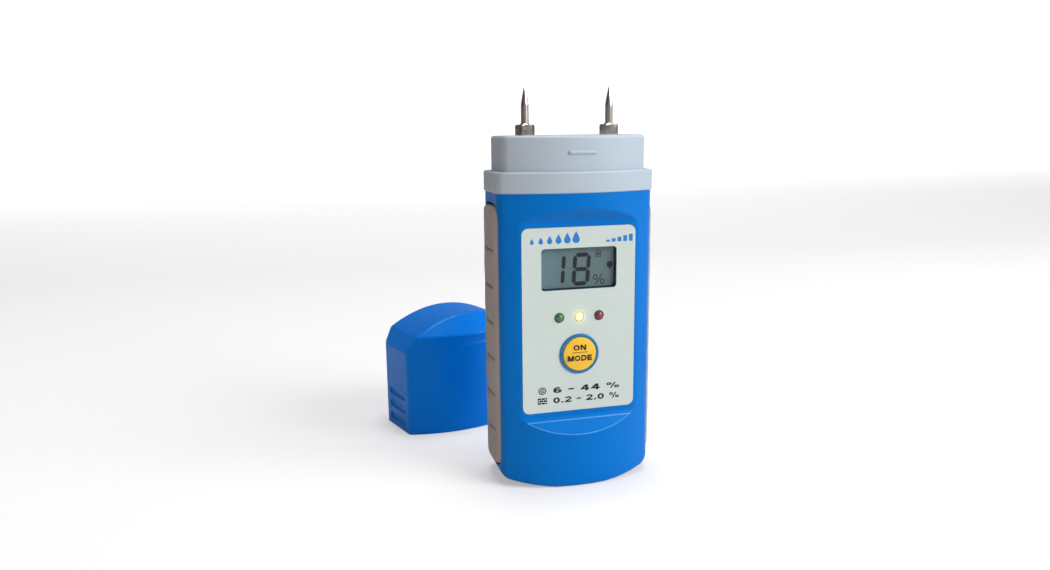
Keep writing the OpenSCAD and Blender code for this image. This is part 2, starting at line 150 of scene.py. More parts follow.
def edge_steps(r, n):
    """Distances from an edge that sample its rounding evenly by angle."""
    return [r * (1 - math.cos(math.pi / 2 * i / n)) for i in range(n + 1)]


def merge(*lists, tol=1e-4):
    """All values of the lists in order, without near repeats."""
    out = []
    for v in sorted(x for part in lists for x in part):
        if not out or v - out[-1] > tol:
            out.append(v)
    return out


# ------------------------ mesh helpers

def to_object(bm, name, mat, smooth=35):
    """Scene object from a bmesh, which it frees."""
    me = bpy.data.meshes.new(name)
    bmesh.ops.recalc_face_normals(bm, faces=bm.faces)
    bm.to_mesh(me)
    bm.free()
    obj = bpy.data.objects.new(name, me)
    bpy.context.scene.collection.objects.link(obj)
    me.materials.append(mat)
    smooth_by_angle(obj, smooth)
    return obj


def smooth_by_angle(obj, angle=35):
    """Smooth shading, with edges sharper than the angle kept crisp."""
    me = obj.data
    for p in me.polygons:
        p.use_smooth = True
    me.set_sharp_from_angle(angle=math.radians(angle))


def loft(lo, hi):
    """Closed solid between two matching loops of points, in mm."""
    bm = bmesh.new()
    a = [bm.verts.new([c * MM for c in p]) for p in lo]
    b = [bm.verts.new([c * MM for c in p]) for p in hi]
    bm.faces.new(a)
    bm.faces.new(list(reversed(b)))
    for i in range(len(a)):
        j = (i + 1) % len(a)
        bm.faces.new((a[i], b[i], b[j], a[j]))
    return bm


def absorb(bm, other):
    """Adds another bmesh to bm and frees it."""
    tmp = bpy.data.meshes.new("tmp")
    other.to_mesh(tmp)
    other.free()
    bm.from_mesh(tmp)
    bpy.data.meshes.remove(tmp)


def pillow(us, zs, hw, front, back, turn_front, turn_back, walls=6, lift=None):
    """Closed solid of two bulged faces joined by a wall that follows its outline.

    us are the column places from -1 to 1, zs the row heights, hw(z) the half width of
    the outline. front(x, z) and back(x, z) give the depth of each face, and turn_front and
    turn_back how far each face has turned in at (x, z). lift(x, z) bends the rows.
    """
    bm = bmesh.new()

    def grid(depth, turn, sign):
        rows = []
        for z in zs:
            row = []
            for x in [u * hw(z) for u in us]:
                h = lift(x, z) if lift else z
                row.append(bm.verts.new((x * MM, sign * (depth(x, h) - turn(x, h)) * MM, h * MM)))
            rows.append(row)
        return rows

    f = grid(front, turn_front, -1)
    b = grid(back, turn_back, 1)
    for rows in (f, b):
        for j in range(len(zs) - 1):
            for i in range(len(us) - 1):
                bm.faces.new((rows[j][i], rows[j][i + 1], rows[j + 1][i + 1], rows[j + 1][i]))

    def border(rows):
        loop = list(rows[0])
        loop += [r[-1] for r in rows[1:]]
        loop += list(reversed(rows[-1][:-1]))
        loop += [r[0] for r in reversed(rows[1:-1])]
        return loop

    lf, lb = border(f), border(b)
    rings = [lf]
    for k in range(1, walls):
        t = k / walls
        rings.append([bm.verts.new(a.co.lerp(c.co, t)) for a, c in zip(lf, lb)])
    rings.append(lb)
    n = len(lf)
    for r0, r1 in zip(rings, rings[1:]):
        for i in range(n):
            bm.faces.new((r0[i], r0[(i + 1) % n], r1[(i + 1) % n], r1[i]))
    return bm


def revolve(profile, seg=64):
    """Solid turned about Z from (radius, height) points, in mm."""
    bm = bmesh.new()
    turns = [2 * math.pi * i / seg for i in range(seg)]
    rings = []
    for r, z in profile:
        ring = [(r * MM * math.cos(a), r * MM * math.sin(a), z * MM) for a in turns]
        rings.append([bm.verts.new(p) for p in (ring if r > 1e-6 else [(0, 0, z * MM)])])
    for a, b in zip(rings, rings[1:]):
        for i in range(seg):
            j = (i + 1) % seg
            quad = [a[i % len(a)], a[j % len(a)], b[j % len(b)], b[i % len(b)]]
            face = list(dict.fromkeys(quad))
            if len(face) > 2:
                bm.faces.new(face)
    return bm


def arc_pts(cx, cz, r, a0, a1, n=6):
    """Points of an arc round (cx, cz), angles in degrees."""
    turns = [math.radians(a) for a in steps(a0, a1, n)]
    return [(cx + r * math.cos(a), cz + r * math.sin(a)) for a in turns]


def place(obj, loc_mm, rot=None):
    """Turns the object's mesh and then moves it."""
    m = Matrix.Translation(Vector(loc_mm) * MM)
    if rot is not None:
        m = m @ rot
    obj.data.transform(m)
    return obj


FACE_OUT = Matrix.Rotation(math.radians(90), 4, "X")      # local +Z to -Y
REAR_OUT = Matrix.Rotation(math.radians(-90), 4, "X")     # local +Z to +Y


def rounded_outline(w, h, r, n=10):
    """Outline of a rectangle with round corners, about the origin."""
    x, z = w / 2 - r, h / 2 - r
    pts = []
    for cx, cz, a0 in ((x, z, 0), (-x, z, 90), (-x, -z, 180), (x, -z, 270)):
        pts += arc_pts(cx, cz, r, a0, a0 + 90, n)
    return pts


def prism(outline, y0, y1, cx=0.0, cz=0.0):
    """Closed prism of an outline in X and Z between two depths, in mm."""
    return loft([(x + cx, y0, z + cz) for x, z in outline], [(x + cx, y1, z + cz) for x, z in outline])


def circle_outline(r, n=72):
    """Outline of a circle about the origin."""
    return [(r * math.cos(2 * math.pi * i / n), r * math.sin(2 * math.pi * i / n)) for i in range(n)]


def cut(obj, bms, op="DIFFERENCE"):
    """Exact boolean of obj with each closed mesh, applied."""
    for bm in bms:
        tool = to_object(bm, "cutter", obj.data.materials[0])
        mod = obj.modifiers.new("cut", "BOOLEAN")
        mod.operation = op
        mod.solver = "EXACT"
        mod.object = tool
        deps = bpy.context.evaluated_depsgraph_get()
        me = bpy.data.meshes.new_from_object(obj.evaluated_get(deps))
        obj.modifiers.clear()
        old = obj.data
        obj.data = me
        bpy.data.meshes.remove(old)
        bpy.data.objects.remove(tool)
    smooth_by_angle(obj)


def finish_piece(obj, body, slot, *replaced):
    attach(obj, body)
    if replaced:
        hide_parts(*replaced)
    return obj


# ------------------------ materials

class Nodes:
    """Short-hand for building one procedural material."""

    def __init__(self, name):
        self.mat = bpy.data.materials.new(name)
        self.mat.use_nodes = True
        self.tree = self.mat.node_tree
        self.bsdf = self.tree.nodes["Principled BSDF"]
        self.coord = self.new("ShaderNodeTexCoord").outputs["Object"]

    def new(self, kind, **props):
        n = self.tree.nodes.new(kind)
        for k, v in props.items():
            setattr(n, k, v)
        return n

    def link(self, a, b):
        self.tree.links.new(a, b)

    def noise(self, scale, detail=3.0, rough=0.55, source=None):
        n = self.new("ShaderNodeTexNoise")
        n.inputs["Scale"].default_value = scale
        n.inputs["Detail"].default_value = detail
        n.inputs["Roughness"].default_value = rough
        self.link(source or self.coord, n.inputs["Vector"])
        return n.outputs["Fac"]

    def ramp(self, fac, stops):
        n = self.new("ShaderNodeValToRGB")
        el = n.color_ramp.elements
        while len(el) < len(stops):
            el.new(0.5)
        for e, (p, c) in zip(el, stops):
            e.position = p
            e.color = (*c, 1.0) if len(c) == 3 else c
        self.link(fac, n.inputs["Fac"])
        return n.outputs["Color"]

    def tone(self, fac, base, vary, lo=0.3, hi=0.7):
        """Colour that drifts by vary each way round base."""
        return self.ramp(fac, [(lo, shade(base, 1 - vary)), (hi, shade(base, 1 + vary))])

    def remap(self, fac, lo, hi, a=0.0, b=1.0):
        """fac taken from a..b to lo..hi."""
        n = self.new("ShaderNodeMapRange")
        for i, v in enumerate((a, b, lo, hi)):
            n.inputs[i + 1].default_value = v
        self.link(fac, n.inputs["Value"])
        return n.outputs["Result"]

    def bump(self, height, strength, distance, normal=None):
        n = self.new("ShaderNodeBump")
        n.inputs["Strength"].default_value = strength
        n.inputs["Distance"].default_value = distance
        self.link(height, n.inputs["Height"])
        if normal:
            self.link(normal, n.inputs["Normal"])
        return n.outputs["Normal"]

    def set(self, **values):
        for k, v in values.items():
            self.bsdf.inputs[k.replace("_", " ")].default_value = v


def shade(c, k):
    """Colour c made k times as bright."""
    return tuple(min(1.0, v * k) for v in c)


def moulded(name, base, rough=0.38, grain=1600.0, depth=0.00004, vary=0.06, spec=0.5, tint=(1, 1, 1)):
    """Moulded plastic: slight tone drift, fine spark-eroded grain, uneven gloss."""
    m = Nodes(name)
    m.link(m.tone(m.noise(38.0, 4.0), base, vary), m.bsdf.inputs["Base Color"])
    m.link(m.remap(m.noise(260.0, 5.0), rough - 0.05, rough + 0.07, 0.3, 0.7), m.bsdf.inputs["Roughness"])
    m.link(m.bump(m.noise(grain, 2.0), 0.35, depth), m.bsdf.inputs["Normal"])
    m.set(IOR=1.5, Specular_IOR_Level=spec, Specular_Tint=(*tint, 1.0))
    return m.mat


def metal(name, base, rough, streak=(900.0, 900.0, 60.0)):
    """Turned or drawn metal with fine lines along Z."""
    m = Nodes(name)
    mapping = m.new("ShaderNodeMapping")
    mapping.inputs["Scale"].default_value = streak
    m.link(m.coord, mapping.inputs["Vector"])
    lines = m.noise(1.0, 3.0, source=mapping.outputs["Vector"])
    m.link(m.tone(lines, base, 0.08), m.bsdf.inputs["Base Color"])
    m.link(m.remap(lines, rough - 0.04, rough + 0.08, 0.3, 0.7), m.bsdf.inputs["Roughness"])
    m.link(m.bump(lines, 0.3, 0.000015), m.bsdf.inputs["Normal"])
    m.set(Metallic=1.0)
    return m.mat


def printed(name, base, rough=0.4):
    """Screen-printed ink with a slightly uneven film."""
    m = Nodes(name)
    m.link(m.tone(m.noise(900.0, 4.0), base, 0.08, 0.35, 0.65), m.bsdf.inputs["Base Color"])
    m.link(m.remap(m.noise(500.0), rough - 0.05, rough + 0.06, 0.3, 0.7), m.bsdf.inputs["Roughness"])
    return m.mat


def distance_from(m, point):
    """Distance in metres from a point of the object's own frame."""
    n = m.new("ShaderNodeVectorMath", operation="DISTANCE")
    m.link(m.coord, n.inputs[0])
    n.inputs[1].default_value = point
    return n.outputs["Value"]


def label_film():
    """Matt polyester label; the lit lamp throws a soft warm patch on it."""
    m = Nodes("label_film")
    near = m.remap(distance_from(m, (0.0, -LABEL_FACE * MM, LED_Z * MM)), 1.0, 0.0, 0.0012, 0.0040)
    glow = m.ramp(near, [(0.0, (0, 0, 0)), (0.6, (0.07, 0.07, 0.02)), (1.0, (0.45, 0.46, 0.18))])
    m.link(m.tone(m.noise(45.0, 4.0), (0.60, 0.70, 0.67), 0.015), m.bsdf.inputs["Base Color"])
    m.link(glow, m.bsdf.inputs["Emission Color"])
    m.set(Emission_Strength=0.55)
    m.link(m.remap(m.noise(420.0, 5.0), 0.36, 0.46, 0.3, 0.7), m.bsdf.inputs["Roughness"])
    m.link(m.bump(m.noise(2600.0, 2.0), 0.25, 0.00002), m.bsdf.inputs["Normal"])
    return m.mat


def lcd_film():
    """Reflective display film: blue green, with a painted reflection that makes it brighter towards its
    left end.
    """
    m = Nodes("lcd_film")
    split = m.new("ShaderNodeSeparateXYZ")
    m.link(m.coord, split.inputs[0])
    across = m.remap(split.outputs["X"], 0.0, 1.0, -WIN_W / 2 * MM, WIN_W / 2 * MM)
    # painted reflection: the film's colour ramp is lighter towards the left end of the window
    col = m.ramp(across, [(0.0, (0.20, 0.35, 0.40)), (0.12, (0.165, 0.30, 0.34)),
                          (0.35, (0.15, 0.26, 0.29)), (1.0, (0.17, 0.26, 0.28))])
    speck = m.ramp(m.noise(5200.0, 2.0), [(0.3, (0.93, 0.93, 0.93)), (0.7, (1.05, 1.05, 1.05))])
    mix = m.new("ShaderNodeMix", data_type="RGBA", blend_type="MULTIPLY")
    mix.inputs["Factor"].default_value = 1.0
    m.link(col, mix.inputs[6])
    m.link(speck, mix.inputs[7])
    m.link(mix.outputs[2], m.bsdf.inputs["Base Color"])
    m.set(Roughness=0.3)
    return m.mat


def clear_pane():
    """Clear window: thin, glossy, almost without a colour of its own."""
    m = Nodes("clear_pane")
    m.link(m.remap(m.noise(300.0, 3.0), 0.03, 0.08, 0.3, 0.7), m.bsdf.inputs["Roughness"])
    m.set(Base_Color=(0.02, 0.03, 0.035, 1), IOR=1.5, Specular_IOR_Level=1.0, Alpha=0.12)
    return m.mat


def lamp_lens(name, base, glow=0.0):
    """Tinted lens; a lit lamp is brightest over its chip, at the middle of the lens."""
    m = Nodes(name)
    m.link(m.tone(m.noise(700.0, 2.0), base, 0.15), m.bsdf.inputs["Base Color"])
    m.set(Roughness=0.22, Subsurface_Weight=0.3, Subsurface_Scale=0.001,
          Coat_Weight=0.4, Coat_Roughness=0.1)
    if glow:
        centre = distance_from(m, (0.0, -(LABEL_FACE + 0.6) * MM, LED_Z * MM))
        m.set(Emission_Color=(*base, 1.0))
        m.link(m.remap(centre, glow, 0.12 * glow, 0.0004, 0.0014), m.bsdf.inputs["Emission Strength"])
    return m.mat


BLUE = (0.0, 0.165, 0.60)
BLUE_SHEEN = (0.14, 0.55, 1.0)
MAT = {
    "body_plastic": moulded("body_plastic", BLUE, rough=0.34, vary=0.04, tint=BLUE_SHEEN),
    # the cap's blue is the body's blue made brighter: painted light on the cap
    "cap_plastic": moulded("cap_plastic", (0.0, 0.20, 0.80), rough=0.32, vary=0.04, tint=BLUE_SHEEN),
    "head_plastic": moulded("head_plastic", (0.45, 0.54, 0.62), rough=0.42, vary=0.02, spec=0.35),
    "grip_rubber": moulded("grip_rubber", (0.40, 0.365, 0.345), rough=0.6, grain=2600.0, depth=0.00006,
                           vary=0.05, spec=0.3),
    "label_film": label_film(),
    "window_clear": clear_pane(),
    "lcd_glass": lcd_film(),
    "frame_plastic": moulded("frame_plastic", (0.02, 0.02, 0.023), rough=0.5),
    "zebra_rubber": moulded("zebra_rubber", (0.65, 0.35, 0.40), rough=0.7),
    "board_laminate": moulded("board_laminate", (0.02, 0.20, 0.08), rough=0.25, grain=3000.0),
    "chip_plastic": moulded("chip_plastic", (0.02, 0.02, 0.022), rough=0.55),
    "component_ceramic": moulded("component_ceramic", (0.45, 0.35, 0.22), rough=0.5),
    "plunger_plastic": moulded("plunger_plastic", (0.6, 0.55, 0.48), rough=0.4),
    "lamp_green": lamp_lens("lamp_green", (0.06, 0.20, 0.08)),
    "lamp_yellow": lamp_lens("lamp_yellow", (0.80, 0.82, 0.33), 1.9),
    "lamp_red": lamp_lens("lamp_red", (0.20, 0.035, 0.07)),
    "key_plastic": moulded("key_plastic", (0.93, 0.57, 0.035), rough=0.42, vary=0.03),
    "pin_steel": metal("pin_steel", (0.80, 0.76, 0.72), rough=0.2),
    "nut_metal": metal("nut_metal", (0.66, 0.60, 0.50), rough=0.2, streak=(600, 600, 600)),
    "socket_brass": metal("socket_brass", (0.78, 0.58, 0.26), rough=0.25),
    "lead_insulation": moulded("lead_insulation", (0.45, 0.03, 0.02), rough=0.45),
    "cell_steel": metal("cell_steel", (0.68, 0.68, 0.70), rough=0.25),
    "contact_steel": metal("contact_steel", (0.70, 0.70, 0.72), rough=0.25),
    "seal_rubber": moulded("seal_rubber", (0.02, 0.02, 0.02), rough=0.6),
    "screw_steel": metal("screw_steel", (0.62, 0.62, 0.64), rough=0.25),
}
# glossy blue of the ledge beads, paler than the body: painted highlight along the ledge's crest and the
# crescent's edge
LEDGE_HIGHLIGHT_BLUE = moulded("painted_ledge_highlight", (0.06, 0.31, 0.82), rough=0.2, vary=0.03, spec=0.9,
                     tint=(0.6, 0.8, 1.0))
RING_BLUE = printed("ring_blue", (0.0, 0.17, 0.45), 0.38)
INK_BLACK = printed("ink_black", (0.012, 0.013, 0.02), 0.45)
INK_BLUE = printed("ink_blue", (0.01, 0.20, 0.60), 0.42)
SEGMENT_INK = printed("segment_ink", (0.001, 0.006, 0.010), 0.6)
# black ring round the display window: painted shade for the walls of the window's recess
RECESS_SHADE_INK = printed("painted_recess_shade", (0.008, 0.015, 0.02), 0.5)


def dress_cad_nodes():
    """Gives every CAD node the procedural material of its slot."""
    for part in frame["record"]["subparts"]:
        obj = NODES[part["node"]]
        mat = MAT[part["material_slot"]]
        if not obj.material_slots:
            obj.data.materials.append(mat)
        for s in obj.material_slots:
            s.material = mat


# ------------------------ body shells

FILLET_X = BODY_HW - BASE_FILLET
BASE_CZ = BASE_R - BASE_FLAT
FILLET_Z = BASE_CZ - math.sqrt((BASE_R - BASE_FILLET) ** 2 - FILLET_X ** 2)
LEDGE_Z = 21.0        # the plateau starts to roll out to the ledge
RIDGE_Z = 19.75       # crest of the ledge
RIDGE_Y = 11.8
CRESCENT_Z = 16.0     # where the crescent meets the apex of the bulge
SCOOP = 0.86          # straight share of the slope between them; the rest is curved
BROW_Z = 77.3         # the upper scoop starts
BROW_RISE = 4.3


def base_half_width(z):
    """Half width of the body's front outline at height z."""
    if z >= FILLET_Z:
        return BODY_HW
    touch = math.asin(FILLET_X / (BASE_R - BASE_FILLET))
    if z >= BASE_CZ - BASE_R * math.cos(touch):
        return FILLET_X + math.sqrt(max(BASE_FILLET ** 2 - (FILLET_Z - z) ** 2, 0))
    return math.sqrt(BASE_R ** 2 - (BASE_CZ - z) ** 2)


def base_distance(x, z):
    """Distance of a point in front view from the body's side and base outline."""
    x = abs(x)
    if x > FILLET_X and z < FILLET_Z:
        side = BASE_FILLET - math.hypot(x - FILLET_X, z - FILLET_Z)
    else:
        side = BODY_HW - x
    return max(0.0, min(side, BASE_R - math.hypot(x, z - BASE_CZ), z if x < 9 else BASE_R))


def plateau(z):
    """Depth of the flat face and of the scoops below and above it."""
    if z < RIDGE_Z:
        t = (RIDGE_Z - z) / (RIDGE_Z - CRESCENT_Z)
        return RIDGE_Y + (APEX - RIDGE_Y) * (SCOOP * t + (1 - SCOOP) * t * t)
    if z < LEDGE_Z:
        t = (LEDGE_Z - z) / (LEDGE_Z - RIDGE_Z)
        return FACE_Y + (RIDGE_Y - FACE_Y) * t ** 1.4
    if z > BROW_Z:
        t = (z - BROW_Z) / BROW_RISE
        return FACE_Y + (APEX - FACE_Y) * t ** 1.5
    return FACE_Y


def body_front(x, z):
    """Depth of the front: the bulge, cut back to the flat face and its scoops."""
    return smin(lens(x, BODY_HW, APEX, CROWN), plateau(z), 0.3)


def body_rear(x, _z):
    """Depth of the rear, which is bulged all over."""
    return lens(x, BODY_HW, APEX, CROWN)


def body_turn(x, z):
    """How far the body's faces have turned in; the edge is tighter near the foot."""
    side = SIDE_R if z > 8 else 1.0 + 0.7 * max(z, 0) / 8
    return round_in(base_distance(x, z), side)


def shell_half(name, front):
    """Solid half of the body, with a hair's gap and a broken edge at the seam."""
    edge = [1 - e / BODY_HW for e in edge_steps(SIDE_R, 8)]
    foot = merge(edge_steps(1.2, 7), steps(1.4, 6, 12))

    def seam(_x, _z):
        return -0.03

    def seam_turn(x, z):
        return round_in(base_distance(x, z), 0.12)

    us = merge(edge, [-c for c in edge], steps(-1, 1, 120 if front else 70))
    if front:
        zs = merge(foot, steps(6, CRESCENT_Z - 1, 14), steps(CRESCENT_Z - 1, LEDGE_Z + 0.4, 42),
                   steps(LEDGE_Z + 0.4, BROW_Z - 0.3, 46), steps(BROW_Z - 0.3, BROW_Z + 5.4, 36),
                   steps(BROW_Z + 5.4, BODY_H - 0.3, 6), [BODY_H])
        bm = pillow(us, zs, base_half_width, body_front, seam, body_turn, seam_turn)
    else:
        zs = merge(foot, steps(6, BODY_H, 50))
        bm = pillow(us, zs, base_half_width, seam, body_rear, seam_turn, body_turn)
    return to_object(bm, name, MAT["body_plastic"])


def lens_prism(hw, apex, crown, z0, z1, y_lo, y_hi, n=48):
    """Closed upright prism with the body's plan, limited in depth to y_lo..y_hi."""
    xs = steps(-hw, hw, n)
    pts = [(x, max(-lens(x, hw, apex, crown), y_lo)) for x in xs]
    pts += [(x, min(lens(x, hw, apex, crown), y_hi)) for x in reversed(xs)]
    return loft([(x, y, z0) for x, y in pts], [(x, y, z1) for x, y in pts])


def grip_slot(side):
    """Slot for a side grip, as a prism along X."""
    w = GRIP_HI[1] - GRIP_LO[1] + 0.3
    h = GRIP_HI[2] - GRIP_LO[2] + 1.4
    bm = prism(rounded_outline(w, h, 4.0), 0, 6)
    turn = Matrix.Rotation(math.radians(90 * side), 4, "Z")
    floor = Vector((side * GRIP_FLOOR, 0, (GRIP_LO[2] + GRIP_HI[2]) / 2))
    bmesh.ops.transform(bm, matrix=Matrix.Translation(floor * MM) @ turn.inverted(), verts=bm.verts)
    return bm


def make_shells():
    """Hollow front and rear halves, with their openings, battery well and screw posts."""
    inner = lens_prism(BODY_HW - 2.5, APEX - 2.0, CROWN - 0.9, 3.3, BODY_H - 2.2,
                       -(FACE_Y - 2.0), APEX - 2.0)
    hole = lens_prism(16.1, 6.1, 0.01, BODY_H - 4, BODY_H + 1, -6.1, 6.1, 4)
    front = shell_half("shell_front", True)
    tools = [inner.copy(), hole.copy(), grip_slot(-1), grip_slot(1)]
    recess = rounded_outline(LABEL_W + 0.3, LABEL_H + 0.3, 2.1)
    tools.append(prism(recess, -30, -(LABEL_FACE - 0.3), 0, LABEL_Z))
    tools.append(prism(rounded_outline(WIN_W, WIN_H, 1.0), -30, 0, 0, WIN_Z))
    tools.append(prism(rounded_outline(30.4, 18.4, 0.8), -10.4, 0, 0, WIN_Z))
    for i in (-1, 0, 1):
        tools.append(prism(circle_outline(LED_R + 0.1, 40), -30, 0, i * LED_PITCH, LED_Z))
    tools.append(prism(circle_outline(KEY_R + 0.08), -30, 0, 0, KEY_Z))
    cut(front, tools)
    finish_piece(front, "meter", "body_plastic", "front_shell")

    rear = shell_half("shell_rear", False)
    cut(rear, [inner, hole, grip_slot(-1), grip_slot(1)])
    cut(rear, [prism(circle_outline(13.8), -1.0, 12.2, 0, CELL_Z)], "UNION")
    cut(rear, [prism(circle_outline(10.4), 0.2, 30, 0, CELL_Z),
               prism(circle_outline(13.1), 10.9, 30, 0, CELL_Z)])
    for x in (-POST_X, POST_X):
        for z in POST_Z:
            cut(rear, [prism(circle_outline(3.4, 40), 0, 10.6, x, z)], "UNION")
            cut(rear, [prism(circle_outline(2.4, 40), 4, 30, x, z),
                       prism(circle_outline(1.3, 32), -1, 5, x, z)])
    finish_piece(rear, "meter", "body_plastic", "rear_shell")


def tube(points, r):
    """Closed round rod along points that lie on the front of the body."""
    bm = bmesh.new()
    seg = 10
    turns = steps(0, 2 * math.pi * (seg - 1) / seg, seg - 1)
    rings = []
    for i, p in enumerate(points):
        along = (points[min(i + 1, len(points) - 1)] - points[max(i - 1, 0)]).normalized()
        side = along.cross(Vector((0, 1, 0))).normalized()
        out = along.cross(side)
        ring = [p + (side * math.cos(a) + out * math.sin(a)) * r for a in turns]
        rings.append([bm.verts.new(v * MM) for v in ring])
    for a, b in zip(rings, rings[1:]):
        for i in range(seg):
            bm.faces.new((a[i], a[(i + 1) % seg], b[(i + 1) % seg], b[i]))
    bm.faces.new(rings[0])
    bm.faces.new(list(reversed(rings[-1])))
    return bm


def make_ledge_beads():
    """Glossy beads along the ledge and round the crescent under it; their paler blue is a painted
    highlight on the ledge's crest and the crescent's edge.
    """
    line = [Vector((x, -RIDGE_Y + 0.05, RIDGE_Z + 0.05)) for x in steps(-16.0, 16.0, 24)]
    arc = []
    for x in steps(-15.9, 15.9, 60):
        q = max(0.0, (lens(x, BODY_HW, APEX, CROWN) - RIDGE_Y) / (APEX - RIDGE_Y))
        t = (-SCOOP + math.sqrt(SCOOP ** 2 + 4 * (1 - SCOOP) * q)) / (2 * (1 - SCOOP))
        z = RIDGE_Z - t * (RIDGE_Z - CRESCENT_Z)
        arc.append(Vector((x, -body_front(x, z) + 0.02, z)))
    # the beads' paler blue paints the highlights of the ledge's crest and the crescent's edge
    for name, pts, r in (("ledge_highlight_bead", line, 0.26), ("crescent_highlight_bead", arc, 0.17)):
        finish_piece(to_object(tube(pts, r), name, LEDGE_HIGHLIGHT_BLUE), "meter", "body_plastic")


# ------------------------ head, grips, cap

def slab(name, hw, apex, crown, z0, z1, r_side, r_lo, r_hi):
    """Upright lens-shaped block with rounded upright corners and rounded rims."""
    def rims(z):
        return round_in(z - z0, r_lo) + round_in(z1 - z, r_hi)

    def half_width(z):
        return hw - rims(z)

    def depth(x, _z):
        return lens(x, hw, apex, crown)

    def turn(x, z):
        return round_in(max(half_width(z) - abs(x), 0), r_side) + rims(z)

    e = [1 - d / hw for d in edge_steps(r_side, 9)]
    us = merge(e, [-c for c in e], steps(-1, 1, 72))
    zs = merge([z0 + d for d in edge_steps(r_lo, 6)], [z1 - d for d in edge_steps(r_hi, 6)],
               steps(z0, z1, 8))
    return to_object(pillow(us, zs, half_width, depth, depth, turn, turn), name, MAT["head_plastic"])


def turned_at(side, profile, seg):
    """Turned solid on the axis of the left or right pin."""
    bm = revolve(profile, seg)
    bmesh.ops.translate(bm, vec=Vector((side * PIN_X, 0, 0)) * MM, verts=bm.verts)
    return bm


def make_head():
    """Electrode head with its collar, hollow, with a bored boss for each pin."""
    head = slab("head_block", HEAD_HW, HEAD_APEX, HEAD_CROWN, HEAD_Z - 1.2, HEAD_TOP, 1.6, 0.01, 0.9)
    collar = slab("head_collar", COLLAR_HW, APEX + 0.2, CROWN, BODY_H + 0.02, HEAD_Z, 1.8, 0.35, 0.45)
    bm = bmesh.new()
    bm.from_mesh(head.data)
    bpy.data.objects.remove(head)
    cut(collar, [bm], "UNION")
    inner = lens_prism(HEAD_HW - 2, HEAD_APEX - 1.8, HEAD_CROWN - 0.8, BODY_H - 1, HEAD_TOP - 2,
                       -20, 20)
    cut(collar, [inner])
    for s in (-1, 1):
        boss = [(0, 92), (4.2, 92), (4.2, HEAD_TOP - 1), (0, HEAD_TOP - 1)]
        cut(collar, [turned_at(s, boss, 48)], "UNION")
        bore = [(0, 80), (2.5, 80), (2.5, HEAD_TOP + 3), (0, HEAD_TOP + 3)]
        cut(collar, [turned_at(s, bore, 48)])
    collar.name = "head_moulding"
    finish_piece(collar, "meter", "head_plastic", "electrode_head")

    for s, end in ((-1, "front"), (1, "rear")):
        obj = to_object(domed_bar(3.48, 0.62, 24), f"cap_detent_{end}", MAT["head_plastic"])
        lying = Matrix.Rotation(math.radians(90), 4, "Y")
        place(obj, (0.4, s * (HEAD_APEX - 0.12), HEAD_TOP - 4.7), lying)
        finish_piece(obj, "meter", "head_plastic")


def domed_bar(half, r, seg):
    """Round bar along Z with domed ends; half is the half length of its straight part."""
    prof = [(0, -half - r)] + arc_pts(0, -half, r, -90, 0, 8)[1:]
    prof += arc_pts(0, half, r, 0, 90, 8)[:-1] + [(0, half + r)]
    return revolve(prof, seg)


def make_grip(side):
    """Side grip with a scalloped face and a short notch between each pair of swells."""
    half = (GRIP_HI[1] - GRIP_LO[1]) / 2 - 0.05
    z0, z1 = GRIP_LO[2] + 0.05, GRIP_HI[2] - 0.05
    out = GRIP_HI[0] - 0.05
    notches = [NOTCH_Z + NOTCH_PITCH * i for i in range(6)]

    def half_width(z):
        return half - round_in(min(z - z0, z1 - z), GRIP_CORNER)

    def depth(x, z):
        groove = max(1 - abs(z - n) / 0.6 for n in notches)
        swell = 0.0
        if notches[0] < z < notches[-1]:
            swell = 0.35 * math.sin(math.pi * ((z - NOTCH_Z) / NOTCH_PITCH % 1.0))
        across = (x / half) ** 2
        span = max(0.0, 1 - (x / (0.8 * half)) ** 4)
        return out - 0.35 - 0.75 * across + swell * (1 - across) - 0.65 * max(groove, 0) * span

    def turn(x, z):
        side_edge = round_in(max(half_width(z) - abs(x), 0), GRIP_EDGE)
        return side_edge + round_in(max(min(z - z0, z1 - z), 0), 1.4)

    def back(_x, _z):
        return -(GRIP_FLOOR + 0.05)

    def no_turn(_x, _z):
        return 0.0

    e = [1 - d / half for d in edge_steps(GRIP_EDGE, 7)]
    us = merge(e, [-c for c in e], steps(-1, 1, 20))
    fine = [n + d for n in notches for d in steps(-1.1, 1.1, 12)]
    corner = edge_steps(GRIP_CORNER, 12)
    zs = merge([z0 + d for d in corner], [z1 - d for d in corner], steps(z0, z1, 60), fine, tol=0.06)
    bm = pillow(us, zs, half_width, depth, back, turn, no_turn, walls=2)
    name = "right" if side > 0 else "left"
    obj = to_object(bm, f"grip_{name}_skin", MAT["grip_rubber"], 50)
    obj.data.transform(Matrix.Rotation(math.radians(90 * side), 4, "Z"))
    finish_piece(obj, "meter", "grip_rubber", f"{name}_grip")


